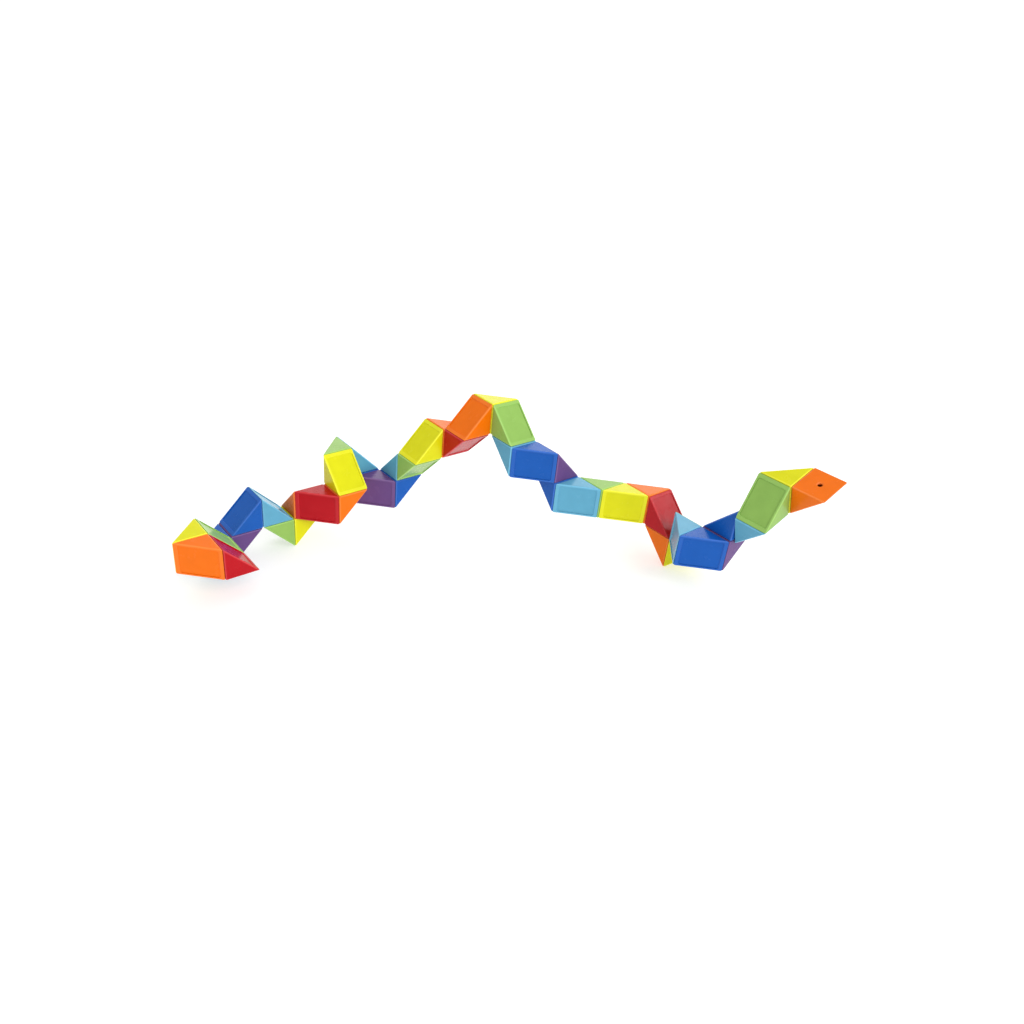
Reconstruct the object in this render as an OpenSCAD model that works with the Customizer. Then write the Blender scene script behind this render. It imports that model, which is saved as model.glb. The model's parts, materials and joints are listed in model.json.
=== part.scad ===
// Twisty snake puzzle: 48 hollow half-cube wedges joined face to face by 47 sprung swivels.
// Every wedge is a shell, a cover panel pressed into its long slanted opening, and, from the
// second wedge on, the screw and coil spring of the swivel that holds it to the wedge before.
//
// Local axes of a wedge, with the origin at the centre of its half cube:
//   -X is the square entry face, +Y is the square exit face, +Z and -Z are the triangular sides,
//   and the long slanted face looks towards +X and -Y.

/* [Chain] */
// Centre distance from each square face to the next along a straight run
pitch = 19; // [17:0.5:24]
// Play between the two square faces of a swivel
face_play = 0.2; // [0.1:0.05:0.4]
// Play between a triangular side and the plane of the half cube
side_play = 0.15; // [0.1:0.05:0.3]
// Turn of the swivel that was left off its quarter turn
odd_turn = 20; // [0:1:20]

/* [Shell] */
// Wall thickness of the moulded shell
wall = 1.2; // [1:0.1:1.4]
// Length of the opening along the slanted face
opening_l = 21.7; // [20:0.1:22.8]
// Flat on each sharp edge of the profile
edge_flat = 0.4; // [0.2:0.1:0.8]
// Outer radius of the screw boss
boss_r = 2.4; // [2:0.1:2.6]
// Length of the screw boss from the inside of the entry wall
boss_l = 3.2; // [2.5:0.1:3.3]

/* [Cover] */
// Thickness of the cover panel
cover_t = 1; // [0.8:0.1:1.2]
// Depth of the panel below the rim of the shell
cover_recess = 0.4; // [0.2:0.1:0.5]
// Fit gap around the cover panel
cover_fit = 0.05; // [0.02:0.01:0.1]

/* [Swivel] */
// Radius of the screw's shank
screw_r = 1.2; // [1:0.05:1.3]
// Running clearance of the shank in the exit wall
screw_play = 0.08; // [0.05:0.01:0.1]
// Clearance of the shank in the thread of the boss
thread_play = 0.02; // [0.02:0.01:0.04]
// Radius of the screw's head
head_r = 2; // [1.6:0.1:2]
// Height of the screw's head
head_h = 1.1; // [0.8:0.1:1.1]
// Length of the compressed coil spring
spring_l = 2.6; // [2:0.1:2.6]
// Wire thickness of the coil spring
spring_wire = 0.4; // [0.3:0.05:0.45]

/* [Hidden] */
$fn = 32;
count = 48;
// Turn of each swivel in degrees: 0 zigzags in one plane, 180 folds back round a square,
// and 90 or -90 leaves the plane. The list runs from the first swivel to the last.
turns = [
    90, 180, -90, -90, -90, 90, 0, 180, 0, 180, -90, -90,
    -90, 90, 90, -90, 90, 90, -90, -90, 0, 90, 90, 90,
    90, 90, -90, 0, 90, 90, 90, 90, 0, 0, 0, -90,
    0, 180, -90, -90, 180, -90, -90, odd_turn, 90, 90, 90
];
// The folded chain touches the table under both ends of an arch that is 8 cells long and whose
// far foot is 1 cell higher, and it lies with the diagonal of its cells along X.
rest_tilt = atan(1 / 8);
rest_heading = -45;
// Wedges whose pieces are separate nodes: both ends, the middle, and one whose cover faces up
split_wedges = [1, 24, 37, 48];

half = pitch / 2;
face_at = half - face_play / 2;
side_at = half - side_play;
slant_play = side_play;
cover_top = slant_play + cover_recess;
inner = face_at - wall;
// Where the screw's head ends, clear of the cover's underside
head_top_y = inner - spring_l - head_h;
screw_tip_gap = 0.3;
coil_gap = 0.05;
slot_w = 0.5;
slot_deep = 0.5;

// Colours of the wedges in order, repeated along the chain
palette = [
    [0.90, 0.08, 0.10], [1.00, 0.45, 0.05], [0.95, 0.95, 0.12], [0.50, 0.80, 0.25],
    [0.30, 0.62, 0.80], [0.10, 0.32, 0.75], [0.42, 0.18, 0.55], [0.10, 0.32, 0.75],
    [0.30, 0.62, 0.80], [0.50, 0.80, 0.25], [0.95, 0.95, 0.12], [1.00, 0.45, 0.05]
];
steel = [0.75, 0.75, 0.78];
function wedge_colour(k) = palette[(k - 1) % len(palette)];

// Node names
function two_digits(k) = str(k < 10 ? "0" : "", k);
function is_split(k) = len(search(k, split_wedges)) > 0;
function node_name(kind, k) = str(kind, "_", two_digits(k));
function kinds(k) = !is_split(k) ? ["wedge"] : k == 1 ? ["shell", "cover"] : ["shell", "cover", "screw", "spring"];

// Placement: each wedge's matrix is the one before it, moved one pitch along the exit axis,
// turned about that axis, and flipped so that the entry face meets the exit face.
function move_by(v) = [[1, 0, 0, v.x], [0, 1, 0, v.y], [0, 0, 1, v.z], [0, 0, 0, 1]];
function turn_y(t) = [[cos(t), 0, sin(t), 0], [0, 1, 0, 0], [-sin(t), 0, cos(t), 0], [0, 0, 0, 1]];
function turn_z(t) = [[cos(t), -sin(t), 0, 0], [sin(t), cos(t), 0, 0], [0, 0, 1, 0], [0, 0, 0, 1]];
flip = [[0, 1, 0, 0], [1, 0, 0, 0], [0, 0, -1, 0], [0, 0, 0, 1]];
// The first wedge is entered from below and left to the front
first = [[0, 0, 1, 0], [0, -1, 0, 0], [1, 0, 0, 0], [0, 0, 0, 1]];
laid_down = turn_z(rest_heading) * turn_y(rest_tilt);
function next_frame(m, t) = m * move_by([0, pitch, 0]) * turn_y(t) * flip;
function chain_frames(k, so_far) =
    k > len(turns) ? so_far
    : chain_frames(k + 1, concat(so_far, [next_frame(so_far[k - 1], turns[k - 1])]));
loose_frames = chain_frames(1, [laid_down * first]);

// Outline of the wedge's profile, with a flat on each of its three edges
function profile(reach, slant, flat) = [
    [-reach, -reach + slant * sqrt(2) + flat], [-reach, reach - flat], [-reach + flat, reach],
    [reach - slant * sqrt(2) - flat, reach], [reach - slant * sqrt(2), reach - flat],
    [-reach + flat, -reach + slant * sqrt(2)]
];

// The chain stands on its lowest corner, centred over the origin
corners = [for (m = loose_frames) for (p = profile(face_at, slant_play, edge_flat)) for (s = [-1, 1])
    m * [p.x, p.y, s * side_at, 1]];
function low(i) = min([for (c = corners) c[i]]);
function high(i) = max([for (c = corners) c[i]]);
standing = move_by([-(low(0) + high(0)) / 2, -(low(1) + high(1)) / 2, -low(2)]);
frames = [for (m = loose_frames) standing * m];

module place(k) {
    multmatrix(frames[k - 1]) children();
}

// Piece shapes, in the axes of the wedge that they sit in
module prism(points, w) {
    linear_extrude(height = w, center = true) polygon(points);
}

// The hollow of the wedge, shrunk by a gap: square ends at the slanted face, then the two walls
module hollow(gap) {
    reach = inner - gap;
    intersection() {
        prism([[-reach, -pitch], [-reach, reach], [pitch, reach], [pitch, -pitch]],
            2 * (side_at - wall - gap));
        rotate([0, 0, 45]) cube([opening_l - 2 * gap, 3 * pitch, 2 * pitch], center = true);
    }
}

module shell_shape() {
    difference() {
        union() {
            difference() {
                prism(profile(face_at, slant_play, edge_flat), 2 * side_at);
                hollow(0);
            }
            translate([-face_at, 0, 0]) rotate([0, 90, 0]) cylinder(r = boss_r, h = wall + boss_l);
        }
        // pilot hole of the screw through the entry wall and its boss
        translate([-pitch, 0, 0]) rotate([0, 90, 0]) cylinder(r = screw_r + thread_play, h = pitch);
        // clearance hole of the next swivel's screw through the exit wall
        translate([0, face_at - wall - 1, 0]) rotate([-90, 0, 0])
            cylinder(r = screw_r + screw_play, h = wall + 2);
    }
}

// Panel that closes the long opening, and rests on the sloping walls
module cover_shape() {
    intersection() {
        hollow(cover_fit);
        rotate([0, 0, 45]) translate([0, cover_top + cover_t / 2, 0])
            cube([2 * pitch, cover_t, pitch], center = true);
    }
}

// Shouldered screw with a slotted head. It is drawn in the wedge before, along its exit axis:
// the head sits on the spring inside, and the shank runs out to the next wedge's boss.
module screw_shape() {
    shank_l = spring_l + face_play + 2 * wall + boss_l - screw_tip_gap;
    difference() {
        union() {
            translate([0, head_top_y, 0]) rotate([-90, 0, 0]) cylinder(r = head_r, h = head_h);
            translate([0, head_top_y + head_h, 0]) rotate([-90, 0, 0])
                cylinder(r = screw_r, h = shank_l);
        }
        translate([0, head_top_y, 0])
            cube([2 * pitch, 2 * slot_deep, slot_w], center = true);
    }
}

// Closely wound compression spring as a sleeve of its outer and inner size
module spring_shape() {
    translate([0, head_top_y + head_h + coil_gap, 0]) rotate([-90, 0, 0])
        difference() {
            cylinder(r = head_r, h = spring_l - 2 * coil_gap);
            translate([0, 0, -1]) cylinder(r = head_r - spring_wire, h = spring_l + 2);
        }
}

// Sub-parts in their places
module shell(k) {
    color(wedge_colour(k)) place(k) shell_shape();
}

module cover(k) {
    color(wedge_colour(k)) place(k) cover_shape();
}

module screw(k) {
    color(steel) place(k - 1) screw_shape();
}

module spring(k) {
    color(steel) place(k - 1) spring_shape();
}

module wedge(k) {
    shell(k);
    cover(k);
    if (k > 1) screw(k);
    if (k > 1) spring(k);
}

module piece(kind, k) {
    if (kind == "wedge") wedge(k);
    if (kind == "shell") shell(k);
    if (kind == "cover") cover(k);
    if (kind == "screw") screw(k);
    if (kind == "spring") spring(k);
}

for (k = [1:count]) for (kind = kinds(k))
    piece(kind, k);
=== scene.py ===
import json
import math

import bmesh
import bpy
from mathutils import Matrix, Vector


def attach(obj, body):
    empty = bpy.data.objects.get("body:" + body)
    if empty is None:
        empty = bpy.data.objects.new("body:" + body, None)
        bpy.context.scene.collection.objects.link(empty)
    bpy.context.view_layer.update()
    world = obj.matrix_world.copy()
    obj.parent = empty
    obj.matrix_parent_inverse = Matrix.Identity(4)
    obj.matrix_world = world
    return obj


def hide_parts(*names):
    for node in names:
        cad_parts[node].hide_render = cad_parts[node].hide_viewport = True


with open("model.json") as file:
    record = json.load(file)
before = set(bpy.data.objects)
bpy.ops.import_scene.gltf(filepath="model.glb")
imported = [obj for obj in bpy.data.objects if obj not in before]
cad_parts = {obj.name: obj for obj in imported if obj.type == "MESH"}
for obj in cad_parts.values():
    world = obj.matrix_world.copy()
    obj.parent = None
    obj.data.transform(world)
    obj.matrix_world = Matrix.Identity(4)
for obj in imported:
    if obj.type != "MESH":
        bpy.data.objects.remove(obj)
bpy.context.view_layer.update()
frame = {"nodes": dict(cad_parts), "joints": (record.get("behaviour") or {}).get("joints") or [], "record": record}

COUNT = 48

# Sizes in millimetres, in a wedge's own axes: -X is the square entry face, +Y the square exit
# face, +Z and -Z the triangular sides, and the slanted opening looks towards +X and -Y.
PITCH = 19.0
FACE_PLAY, SIDE_PLAY = 0.2, 0.15
WALL = 1.2
FACE_AT = (PITCH - FACE_PLAY) / 2    # square faces
SIDE_AT = PITCH / 2 - SIDE_PLAY      # triangular sides
SLANT_AT = SIDE_PLAY                 # slanted face, below the plane y = x
INNER = FACE_AT - WALL               # inside of the square walls
SIDE_INNER = SIDE_AT - WALL          # inside of the triangular walls
EDGE_ROUND = 0.7

# Opening along the slanted face, and the panel that closes it
OPENING_HALF = 10.85
CORNER_ROUND = 0.9
RIM_ROUND = 0.18
COVER_TOP, COVER_T, COVER_FIT = 0.55, 1.0, 0.05
SEAM = 0.12
COVER_ROUND = 0.24
PEG_U, PEG_Z = 6.5, 6.3
PEG_BASE_R, PEG_TIP_R, PEG_ROOT, PEG_END = 0.8, 0.65, 0.2, 1.4

# Boss of the entry wall with its ribs, and the holes of the two swivels
BOSS_R, BOSS_L, BOSS_DRAFT, BOSS_ROOT = 2.4, 3.2, 0.15, 0.5
RIB_T, RIB_FROM, RIB_END = 0.8, 1.9, -6.4
PILOT_R, EXIT_R = 1.22, 1.28
CHAMFER = 0.3

# Swivel screw and spring, along the exit axis of the wedge before
HEAD_R, HEAD_H = 2.0, 1.1
SLOT_W, SLOT_DEEP = 0.5, 0.5
SHANK_R, TIP_GAP = 1.2, 0.3
THREAD_PITCH, THREAD_DEEP, THREAD_STEP = 0.64, 0.2, 0.16
SPRING_L, SPRING_WIRE, COIL_GAP = 2.6, 0.4, 0.05
SPRING_TURNS, CLOSED_TURNS = 4.5, 0.75
HEAD_Y = INNER - SPRING_L - HEAD_H
SEAT_Y = HEAD_Y + HEAD_H             # where the spring sits on the head
SHANK_L = SPRING_L + FACE_PLAY + 2 * WALL + BOSS_L - TIP_GAP
THREAD_FROM = FACE_AT + 0.5

PAST = 1.0                           # how far a cutting shape reaches past a surface
TOUCH = 1e-3                         # points closer than this lie on the same face
MERGE = 1e-4
MM = Matrix.Scale(0.001, 4)
ROOT2 = math.sqrt(2)

COLOURS = ["red", "orange", "yellow", "green", "light_blue", "blue", "purple", "blue",
           "light_blue", "green", "yellow", "orange"]


# ---------------------------------------------------------------- places of the 48 wedges
def wedge_matrices():
    """Each wedge's matrix in metres, from the swivels' places and axes and the two end mounts."""
    joints = {joint["name"]: joint for joint in frame["joints"]}
    mounts = {mount["name"]: mount for mount in frame["record"]["mounts"]}
    start, end = mounts["start_screw_hole"], mounts["end_pivot_hole"]
    half = PITCH / 2000
    x = -Vector(start["axis"]).normalized()
    previous = Vector(start["pos_m"])
    matrices = []
    for k in range(1, COUNT + 1):
        if k < COUNT:
            swivel = joints[f"swivel_{k:02d}"]
            point = Vector(swivel["pos_m"])
            y = Vector(swivel["axis"]).normalized()
            if (point - previous).dot(y) < 0:
                y = -y
            centre = point - y * half
            previous = point
        else:
            y = Vector(end["axis"]).normalized()
            centre = previous + x * half
        matrix = Matrix((x, y, x.cross(y))).transposed().to_4x4()
        matrix.translation = centre
        matrices.append(matrix)
        x = y
    return matrices


# ---------------------------------------------------------------- mesh tools
def new_object(bm, name):
    mesh = bpy.data.meshes.new(name)
    bmesh.ops.recalc_face_normals(bm, faces=bm.faces)
    bm.to_mesh(mesh)
    bm.free()
    obj = bpy.data.objects.new(name, mesh)
    bpy.context.scene.collection.objects.link(obj)
    return obj


def prism(points, half_width):
    bm = bmesh.new()
    low = [bm.verts.new((x, y, -half_width)) for x, y in points]
    high = [bm.verts.new((x, y, half_width)) for x, y in points]
    bm.faces.new(list(reversed(low)))
    bm.faces.new(high)
    for i in range(len(points)):
        j = (i + 1) % len(points)
        bm.faces.new((low[i], low[j], high[j], high[i]))
    bmesh.ops.recalc_face_normals(bm, faces=bm.faces)
    return bm


def slanted(points):
    """Points given as (along the slanted face, depth below the diagonal plane), in x and y."""
    return [((u - v) / ROOT2, (u + v) / ROOT2) for u, v in points]


def along_slant(co):
    return (co.x + co.y) / ROOT2


def below_slant(co):
    return (co.y - co.x) / ROOT2


def bevel(bm, edges, offset, segments):
    bmesh.ops.bevel(bm, geom=list(edges), offset=offset, segments=segments, profile=0.5,
                    affect="EDGES", clamp_overlap=True)


def cone(r1, r2, start, end, axis, segments=40):
    """A cylinder or cone from start to end along "X" or "Y"."""
    bm = bmesh.new()
    if axis == "X":
        along, turn = Vector((1, 0, 0)), Matrix.Rotation(math.pi / 2, 4, "Y")
    else:
        along, turn = Vector((0, 1, 0)), Matrix.Rotation(-math.pi / 2, 4, "X")
    bmesh.ops.create_cone(bm, cap_ends=True, segments=segments, radius1=r1, radius2=r2,
                          depth=end - start,
                          matrix=Matrix.Translation(along * (start + end) / 2) @ turn)
    return bm


def block(lo, hi):
    bm = bmesh.new()
    size = Vector(hi) - Vector(lo)
    centre = (Vector(hi) + Vector(lo)) / 2
    bmesh.ops.create_cube(bm, size=1, matrix=Matrix.Translation(centre) @ Matrix.Diagonal((*size, 1)))
    return bm


def combine(obj, bm, operation):
    tool = new_object(bm, "tool")
    step = obj.modifiers.new("step", "BOOLEAN")
    step.operation, step.object, step.solver = operation, tool, "MANIFOLD"
    graph = bpy.context.evaluated_depsgraph_get()
    combined = bpy.data.meshes.new_from_object(obj.evaluated_get(graph))
    obj.modifiers.clear()
    old, obj.data = obj.data, combined
    bpy.data.meshes.remove(old)
    bpy.data.objects.remove(tool)


OPENING_WAY = Vector((1, -1, 0))
FLAT_WAYS = [Vector(way).normalized() * sign
             for way in ((1, 0, 0), (0, 1, 0), (0, 0, 1), OPENING_WAY) for sign in (1, -1)]
# Painted highlight on edges and rim: the share the flat rim round the opening gets, and the leans from the flats
# that set it
RIM_HIGHLIGHT_SHARE = 0.3
FULL_LEAN, RIM_LEAN = math.radians(25), math.radians(5)


def mark_painted_highlight(mesh):
    """Writes how far each face leans from the wedge's flats, 0 to 1, as the mask of a painted highlight on the
    edges. The flat rim round the opening gets part of this painted highlight."""
    lean = mesh.attributes.new("edge", "FLOAT", "FACE")
    for i, face in enumerate(mesh.polygons):
        away = min(face.normal.angle(way) for way in FLAT_WAYS)
        outside = below_slant(face.center) < SLANT_AT + 0.01
        on_rim = outside and face.normal.angle(OPENING_WAY) < RIM_LEAN
        lean.data[i].value = RIM_HIGHLIGHT_SHARE if on_rim else min(1.0, away / FULL_LEAN)


def finish_mesh(obj, sharp_degrees):
    """Merges stray points, shades the rounded edges smoothly and keeps the faces flat."""
    bm = bmesh.new()
    bm.from_mesh(obj.data)
    bmesh.ops.remove_doubles(bm, verts=bm.verts, dist=MERGE)
    bmesh.ops.dissolve_degenerate(bm, edges=bm.edges, dist=MERGE)
    bmesh.ops.recalc_face_normals(bm, faces=bm.faces)
    for face in bm.faces:
        face.smooth = True
    bm.to_mesh(obj.data)
    bm.free()
    mark_painted_highlight(obj.data)
    obj.data.set_sharp_from_angle(angle=math.radians(sharp_degrees))
    weigh = obj.modifiers.new("weigh", "WEIGHTED_NORMAL")
    weigh.keep_sharp = True
    weigh.weight = 90
    graph = bpy.context.evaluated_depsgraph_get()
    mesh = bpy.data.meshes.new_from_object(
        obj.evaluated_get(graph), preserve_all_data_layers=True, depsgraph=graph)
    bpy.data.objects.remove(obj)
    return mesh


# ---------------------------------------------------------------- the four parts of a wedge
def add_boss(obj):
    """The screw boss on the entry wall, and the ribs that brace it against the triangular sides."""
    boss_end = -INNER + BOSS_L
    combine(obj, cone(BOSS_R + BOSS_DRAFT, BOSS_R, -FACE_AT + BOSS_ROOT, boss_end, "X"), "UNION")
    mid_wall = WALL / 2
    for side in (-1, 1):
        z_lo, z_hi = sorted((side * RIB_FROM, side * (SIDE_AT - mid_wall)))
        rib = block((-FACE_AT + mid_wall, -RIB_T / 2, z_lo), (RIB_END, RIB_T / 2, z_hi))
        combine(obj, rib, "UNION")


def drill_holes(obj):
    """The screw's pilot hole, the next screw's pivot hole, and the chamfers at their mouths."""
    flare = CHAMFER + PAST
    combine(obj, cone(PILOT_R, PILOT_R, -PITCH, -2, "X"), "DIFFERENCE")
    combine(obj, cone(PILOT_R + flare, PILOT_R, -FACE_AT - PAST, -FACE_AT + CHAMFER, "X"),
            "DIFFERENCE")
    combine(obj, cone(EXIT_R, EXIT_R, INNER - PAST, PITCH, "Y"), "DIFFERENCE")
    combine(obj, cone(EXIT_R, EXIT_R + flare, FACE_AT - CHAMFER, FACE_AT + PAST, "Y"), "DIFFERENCE")


def round_rim(obj):
    """A small round on the inner edge of the rim."""
    def on_rim(co):
        return (abs(below_slant(co) - SLANT_AT) < TOUCH
                and abs(along_slant(co)) < OPENING_HALF + 0.01 and abs(co.z) < SIDE_INNER + 0.01)

    bm = bmesh.new()
    bm.from_mesh(obj.data)
    bmesh.ops.remove_doubles(bm, verts=bm.verts, dist=MERGE)
    bevel(bm, [edge for edge in bm.edges if all(on_rim(v.co) for v in edge.verts)], RIM_ROUND, 3)
    bm.to_mesh(obj.data)
    bm.free()


def shell_mesh():
    cut = SLANT_AT * ROOT2
    outer = prism([(-FACE_AT, -FACE_AT + cut), (-FACE_AT, FACE_AT), (FACE_AT - cut, FACE_AT)],
                  SIDE_AT)
    bevel(outer, outer.edges, EDGE_ROUND, 4)
    obj = new_object(outer, "shell")

    depth, mouth = ROOT2 * INNER, -5
    kink = depth - OPENING_HALF
    cavity = prism(slanted([(-OPENING_HALF, mouth), (-OPENING_HALF, kink), (0, depth),
                            (OPENING_HALF, kink), (OPENING_HALF, mouth)]), SIDE_INNER)
    bevel(cavity, cavity.edges, CORNER_ROUND, 5)
    combine(obj, cavity, "DIFFERENCE")

    add_boss(obj)
    drill_holes(obj)
    round_rim(obj)
    return finish_mesh(obj, 40)


def cover_mesh():
    end = OPENING_HALF - SEAM
    wall_end = ROOT2 * (INNER - COVER_FIT)
    low = COVER_TOP + COVER_T
    narrow = wall_end - low
    plate = prism(slanted([(-end, COVER_TOP), (-end, wall_end - end), (-narrow, low),
                           (narrow, low), (end, wall_end - end), (end, COVER_TOP)]),
                  SIDE_INNER - SEAM)

    def at_corner(edge):
        a, b = (v.co for v in edge.verts)
        outermost = max(abs(along_slant(a)), abs(along_slant(b)))
        return abs(a.z - b.z) < TOUCH and outermost > narrow - TOUCH and (a - b).length < 3

    def at_top(edge):
        return all(abs(below_slant(v.co) - COVER_TOP) < TOUCH for v in edge.verts)

    bevel(plate, [edge for edge in plate.edges if at_corner(edge)], CORNER_ROUND, 5)
    bevel(plate, [edge for edge in plate.edges if at_top(edge)], COVER_ROUND, 4)
    obj = new_object(plate, "cover")

    lean = Matrix.Rotation(math.radians(45), 4, "Z")
    for u in (-PEG_U, PEG_U):  # glue pegs under the panel
        for z in (-PEG_Z, PEG_Z):
            peg = cone(PEG_BASE_R, PEG_TIP_R, low - PEG_ROOT, low + PEG_END, "Y", 20)
            peg.transform(lean @ Matrix.Translation((u, 0, z)))
            combine(obj, peg, "UNION")
    return finish_mesh(obj, 40)


def lathe(profile, segments):
    """Turns (radius, y) points about the Y axis; the first and last points lie on the axis."""
    bm = bmesh.new()
    rings = []
    for r, y in profile[1:-1]:
        rings.append([bm.verts.new((r * math.cos(a), y, r * math.sin(a)))
                      for a in (2 * math.pi * i / segments for i in range(segments))])
    for a, b in zip(rings, rings[1:]):
        for i in range(segments):
            j = (i + 1) % segments
            bm.faces.new((a[i], a[j], b[j], b[i]))
    for tip, ring in ((profile[0], rings[0]), (profile[-1], rings[-1])):
        point = bm.verts.new((0, tip[1], 0))
        for i in range(segments):
            bm.faces.new((point, ring[i], ring[(i + 1) % segments]))
    bmesh.ops.recalc_face_normals(bm, faces=bm.faces)
    return bm


def roll_thread(bm, start, end):
    """Winds a thread into the part of the shank that bites into the boss."""
    for v in bm.verts:
        if start < v.co.y < end:
            angle = math.atan2(v.co.z, v.co.x) / (2 * math.pi)
            wave = 0.5 + 0.5 * math.cos(2 * math.pi * (v.co.y / THREAD_PITCH - angle))
            radius = SHANK_R - THREAD_DEEP * (1 - wave)
            scale = radius / math.hypot(v.co.x, v.co.z)
            v.co.x, v.co.z = v.co.x * scale, v.co.z * scale


def screw_mesh():
    tip = SEAT_Y + SHANK_L
    domed_head = [(0, 0), (1.2, 0), (1.62, 0.08), (1.88, 0.28), (HEAD_R, 0.6),
                  (HEAD_R, HEAD_H - 0.08), (HEAD_R - 0.08, HEAD_H)]
    plain_shank = [(SHANK_R, SEAT_Y), (SHANK_R, THREAD_FROM - 0.2)]
    rows = int((tip - 0.5 - THREAD_FROM) / THREAD_STEP)
    threaded = [(SHANK_R, THREAD_FROM + THREAD_STEP * i) for i in range(rows)]
    blunt_tip = [(SHANK_R * 0.82, tip - 0.35), (SHANK_R * 0.55, tip), (0, tip)]
    profile = [(r, HEAD_Y + h) for r, h in domed_head] + plain_shank + threaded + blunt_tip
    bm = lathe(profile, 24)
    roll_thread(bm, THREAD_FROM - MERGE, tip - 0.4)
    obj = new_object(bm, "screw")
    slot = block((-HEAD_R - PAST, HEAD_Y - PAST, -SLOT_W / 2),
                 (HEAD_R + PAST, HEAD_Y + SLOT_DEEP, SLOT_W / 2))
    combine(obj, slot, "DIFFERENCE")
    return finish_mesh(obj, 50)


def spring_mesh():
    wire_r = SPRING_WIRE / 2
    low, high = SEAT_Y + COIL_GAP + wire_r, SEAT_Y + SPRING_L - COIL_GAP - wire_r
    mean_r, per_turn, sides = HEAD_R - wire_r, 20, 8
    closed_rise = SPRING_WIRE * CLOSED_TURNS
    slope = (high - low - 2 * closed_rise) / (SPRING_TURNS - 2 * CLOSED_TURNS)

    def height(t):
        """The closed ends rise only by the wire's thickness in a turn."""
        if t < CLOSED_TURNS:
            return low + SPRING_WIRE * t
        if t > SPRING_TURNS - CLOSED_TURNS:
            return high - SPRING_WIRE * (SPRING_TURNS - t)
        return low + closed_rise + slope * (t - CLOSED_TURNS)

    bm = bmesh.new()
    rings = []
    for i in range(int(SPRING_TURNS * per_turn) + 1):
        t = i / per_turn
        out = Vector((math.cos(2 * math.pi * t), 0, math.sin(2 * math.pi * t)))
        rings.append([bm.verts.new(out * (mean_r + wire_r * math.cos(b))
                                   + Vector((0, height(t) + wire_r * math.sin(b), 0)))
                      for b in (2 * math.pi * s / sides for s in range(sides))])
    for a, b in zip(rings, rings[1:]):
        for s in range(sides):
            n = (s + 1) % sides
            bm.faces.new((a[s], a[n], b[n], b[s]))
    bm.faces.new(list(reversed(rings[0])))
    bm.faces.new(rings[-1])
    return finish_mesh(new_object(bm, "spring"), 50)


# ---------------------------------------------------------------- materials
PAINT = {
    "red": (180, 3, 21),
    "orange": (238, 111, 0),
    "yellow": (217, 215, 14),
    "green": (142, 184, 90),
    "light_blue": (94, 164, 194),
    "purple": (100, 68, 125),
    "blue": (16, 87, 175),
}
WHITE = (1, 1, 1, 1)
# Noise scales of the surface detail, in waves to the metre
FLOW_SCALE, SMUDGE_SCALE, PEEL_SCALE, GRAIN_SCALE = 140, 210, 900, 1500


def srgb(r, g, b):
    def linear(c):
        c /= 255
        return c / 12.92 if c <= 0.04045 else ((c + 0.055) / 1.055) ** 2.4
    return (linear(r), linear(g), linear(b), 1)


def shade(colour, gain, lift=0):
    """The colour made lighter or darker, with its alpha left at 1."""
    return tuple(min(1, c * gain + lift) for c in colour[:3]) + (1,)


def add(tree, kind, **settings):
    node = tree.nodes.new(kind)
    for name, value in settings.items():
        setattr(node, name, value)
    return node


def noise(tree, coords, scale, detail=2.0, roughness=0.5):
    node = add(tree, "ShaderNodeTexNoise")
    node.inputs["Scale"].default_value = scale
    node.inputs["Detail"].default_value = detail
    node.inputs["Roughness"].default_value = roughness
    tree.links.new(coords, node.inputs["Vector"])
    return node.outputs["Fac"]


def spread(tree, value, from_lo, from_hi, to_lo, to_hi):
    node = add(tree, "ShaderNodeMapRange", clamp=True)
    for name, number in (("From Min", from_lo), ("From Max", from_hi),
                         ("To Min", to_lo), ("To Max", to_hi)):
        node.inputs[name].default_value = number
    tree.links.new(value, node.inputs["Value"])
    return node.outputs["Result"]


def gloss_plastic(slot, colour):
    """Glossy moulded ABS: faint flow marks in the colour, a painted highlight that makes the edges and the rim
    lighter, handling smudges in the gloss, and a fine orange-peel surface."""
    mat = bpy.data.materials.new("gloss_plastic_" + slot)
    mat.use_nodes = True
    tree = mat.node_tree
    shader = tree.nodes["Principled BSDF"]
    shader.inputs["IOR"].default_value = 1.53
    shader.inputs["Specular IOR Level"].default_value = 0.15
    shader.inputs["Roughness"].default_value = 0.25
    coords = add(tree, "ShaderNodeTexCoord").outputs["Object"]

    base = srgb(*colour)
    ramp = add(tree, "ShaderNodeValToRGB")
    ramp.color_ramp.elements[0].color = shade(base, 0.96)
    ramp.color_ramp.elements[1].color = shade(base, 1.03, 0.002)
    flow = spread(tree, noise(tree, coords, FLOW_SCALE, 3), 0.3, 0.7, 0, 1)
    tree.links.new(flow, ramp.inputs["Fac"])
    # Painted highlight: faces marked in the "edge" attribute are mixed towards a lighter colour
    edge = add(tree, "ShaderNodeAttribute", attribute_name="edge")
    lighter = add(tree, "ShaderNodeMix", data_type="RGBA")
    tree.links.new(spread(tree, edge.outputs["Fac"], 0, 1, 0, 0.8), lighter.inputs["Factor"])
    tree.links.new(ramp.outputs["Color"], lighter.inputs["A"])
    lighter.inputs["B"].default_value = shade(base, 1.35, 0.06)
    tree.links.new(lighter.outputs["Result"], shader.inputs["Base Color"])

    smudge = spread(tree, noise(tree, coords, SMUDGE_SCALE, 4, 0.6), 0.35, 0.7, 0.2, 0.3)
    tree.links.new(smudge, shader.inputs["Roughness"])

    peel = add(tree, "ShaderNodeBump")
    peel.inputs["Strength"].default_value = 0.02
    peel.inputs["Distance"].default_value = 0.00008
    tree.links.new(noise(tree, coords, PEEL_SCALE, 2), peel.inputs["Height"])
    tree.links.new(peel.outputs["Normal"], shader.inputs["Normal"])
    return mat


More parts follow.
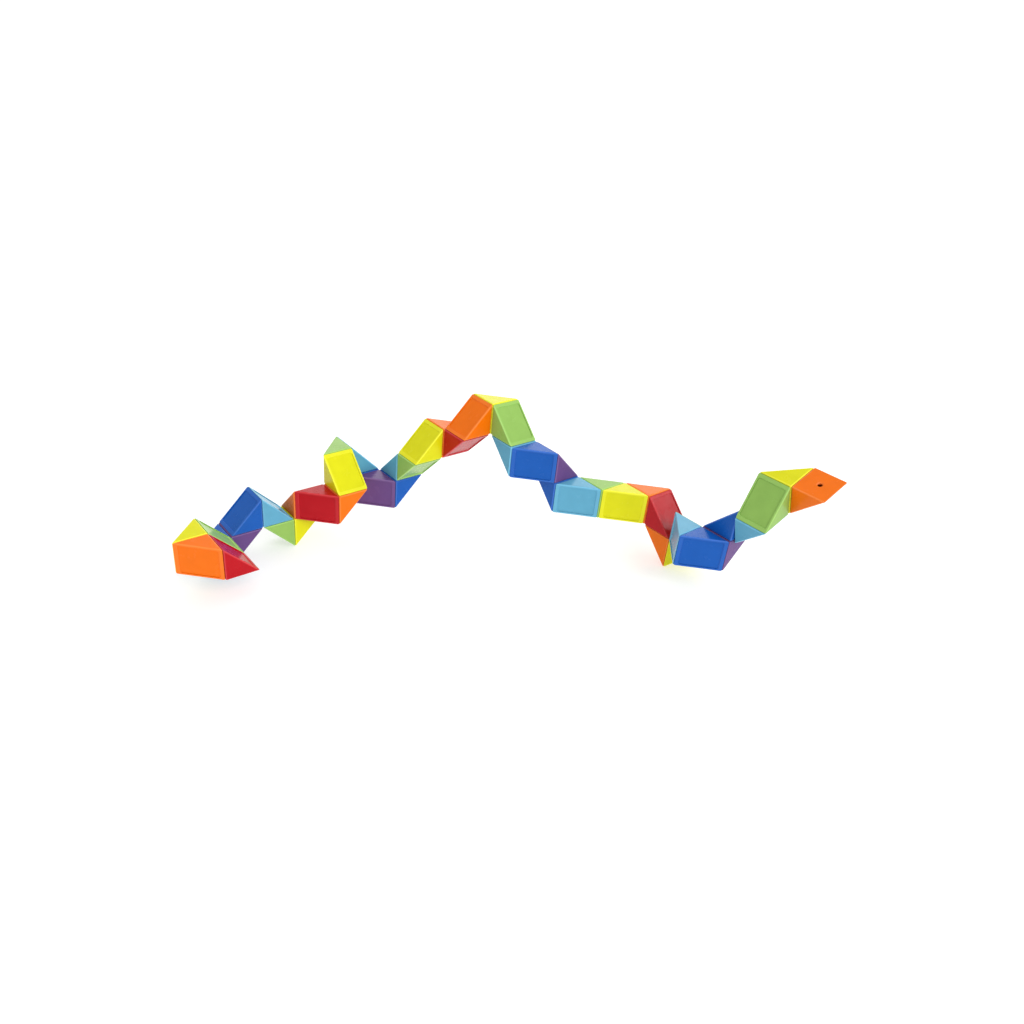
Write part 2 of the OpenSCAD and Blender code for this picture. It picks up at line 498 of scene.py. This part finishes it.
def zinc_steel():
    """Zinc-plated steel with a fine grain in its gloss."""
    mat = bpy.data.materials.new("zinc_plated_steel")
    mat.use_nodes = True
    tree = mat.node_tree
    shader = tree.nodes["Principled BSDF"]
    shader.inputs["Base Color"].default_value = (0.55, 0.56, 0.58, 1)
    shader.inputs["Metallic"].default_value = 1
    shader.inputs["Roughness"].default_value = 0.32
    coords = add(tree, "ShaderNodeTexCoord").outputs["Object"]
    grain = spread(tree, noise(tree, coords, GRAIN_SCALE, 3), 0.3, 0.7, 0.26, 0.4)
    tree.links.new(grain, shader.inputs["Roughness"])
    return mat


# ---------------------------------------------------------------- pieces
MATRICES = wedge_matrices()
MATERIALS = {slot: gloss_plastic(slot, colour) for slot, colour in PAINT.items()}
MATERIALS["steel"] = zinc_steel()
SHAPES = {"shell": shell_mesh(), "cover": cover_mesh(), "screw": screw_mesh(), "spring": spring_mesh()}


def place(kind, name, k, at, slot):
    """One piece of wedge k, in the axes of wedge number at."""
    mesh = SHAPES[kind].copy()
    mesh.name = name
    mesh.transform(MATRICES[at - 1] @ MM)
    mesh.materials.clear()
    mesh.materials.append(MATERIALS[slot])
    obj = bpy.data.objects.new(name, mesh)
    bpy.context.scene.collection.objects.link(obj)
    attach(obj, f"body_{k:02d}")
    whole = f"wedge_{k:02d}"
    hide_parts(whole if whole in frame["nodes"] else f"{kind}_{k:02d}")


for k in range(1, COUNT + 1):
    colour = COLOURS[(k - 1) % len(COLOURS)]
    place("shell", f"snake_shell_{k:02d}", k, k, colour)
    place("cover", f"snake_cover_{k:02d}", k, k, colour)
    if k > 1:
        place("screw", f"swivel_screw_{k:02d}", k, k - 1, "steel")
        place("spring", f"swivel_spring_{k:02d}", k, k - 1, "steel")


# ---------------------------------------------------------------- studio, in metres
def studio_floor():
    bm = bmesh.new()
    bmesh.ops.create_grid(bm, x_segments=8, y_segments=8, size=30)
    floor = new_object(bm, "studio_floor")
    mat = bpy.data.materials.new("studio_white")
    mat.use_nodes = True
    shader = mat.node_tree.nodes["Principled BSDF"]
    shader.inputs["Base Color"].default_value = (0.6, 0.6, 0.6, 1)
    shader.inputs["Roughness"].default_value = 0.9
    shader.inputs["Specular IOR Level"].default_value = 0.1
    shader.inputs["Emission Color"].default_value = WHITE
    shader.inputs["Emission Strength"].default_value = 0.5
    floor.data.materials.append(mat)


def area_light(name, place_at, target, size, power):
    light = bpy.data.lights.new(name, "AREA")
    light.shape, light.size, light.size_y, light.energy = "RECTANGLE", size[0], size[1], power
    obj = bpy.data.objects.new(name, light)
    obj.location = place_at
    obj.rotation_euler = (Vector(target) - Vector(place_at)).to_track_quat("-Z", "Y").to_euler()
    bpy.context.scene.collection.objects.link(obj)


def sun(name, towards, width_degrees, strength):
    light = bpy.data.lights.new(name, "SUN")
    light.angle, light.energy = math.radians(width_degrees), strength
    obj = bpy.data.objects.new(name, light)
    obj.rotation_euler = Vector(towards).to_track_quat("Z", "Y").to_euler()
    bpy.context.scene.collection.objects.link(obj)


def studio_world():
    """Soft white light, brighter above and behind the object. The camera sees plain white."""
    world = bpy.data.worlds.new("studio")
    bpy.context.scene.world = world
    world.use_nodes = True
    tree = world.node_tree
    lighting = tree.nodes["Background"]
    lighting.inputs["Color"].default_value = WHITE
    towards = add(tree, "ShaderNodeVectorMath", operation="DOT_PRODUCT")
    towards.inputs[1].default_value = (0.25, 0.35, 0.4)
    tree.links.new(add(tree, "ShaderNodeTexCoord").outputs["Generated"], towards.inputs[0])
    tree.links.new(spread(tree, towards.outputs["Value"], -0.5, 0.6, 0.48, 0.9),
                   lighting.inputs["Strength"])
    seen = add(tree, "ShaderNodeBackground")
    seen.inputs["Color"].default_value = WHITE
    seen.inputs["Strength"].default_value = 1.1
    pick = add(tree, "ShaderNodeMixShader")
    tree.links.new(add(tree, "ShaderNodeLightPath").outputs["Is Camera Ray"], pick.inputs[0])
    tree.links.new(lighting.outputs[0], pick.inputs[1])
    tree.links.new(seen.outputs[0], pick.inputs[2])
    tree.links.new(pick.outputs[0], tree.nodes["World Output"].inputs["Surface"])


def camera(at, view, right, lens):
    data = bpy.data.cameras.new("camera")
    data.sensor_width = 36
    data.lens = lens
    data.clip_start, data.clip_end = 0.01, 20
    obj = bpy.data.objects.new("camera", data)
    turn = Matrix((right, right.cross(view), -view)).transposed().to_4x4()
    obj.matrix_world = Matrix.Translation(at) @ turn
    bpy.context.scene.collection.objects.link(obj)
    bpy.context.scene.camera = obj


studio_floor()
studio_world()
sun("key", (0.5, -0.62, 0.52), 30, 1.35)
area_light("back", (0.15, 0.9, 0.6), (0, 0, 0.03), (1.4, 0.5), 4)
# mirrored towards the camera by the panel of the red wedge 37
area_light("sheen", (0.975, 0.148, 0.469), (0.087, 0.024, 0.025), (0.25, 0.25), 0.9)
camera(at=(0.03721, -0.40898, 0.22039), view=Vector((-0.07753, 0.90753, -0.41276)),
       right=Vector((0.99575, 0.09117, 0.01344)), lens=28.6)
bpy.context.scene.view_settings.view_transform = "Standard"
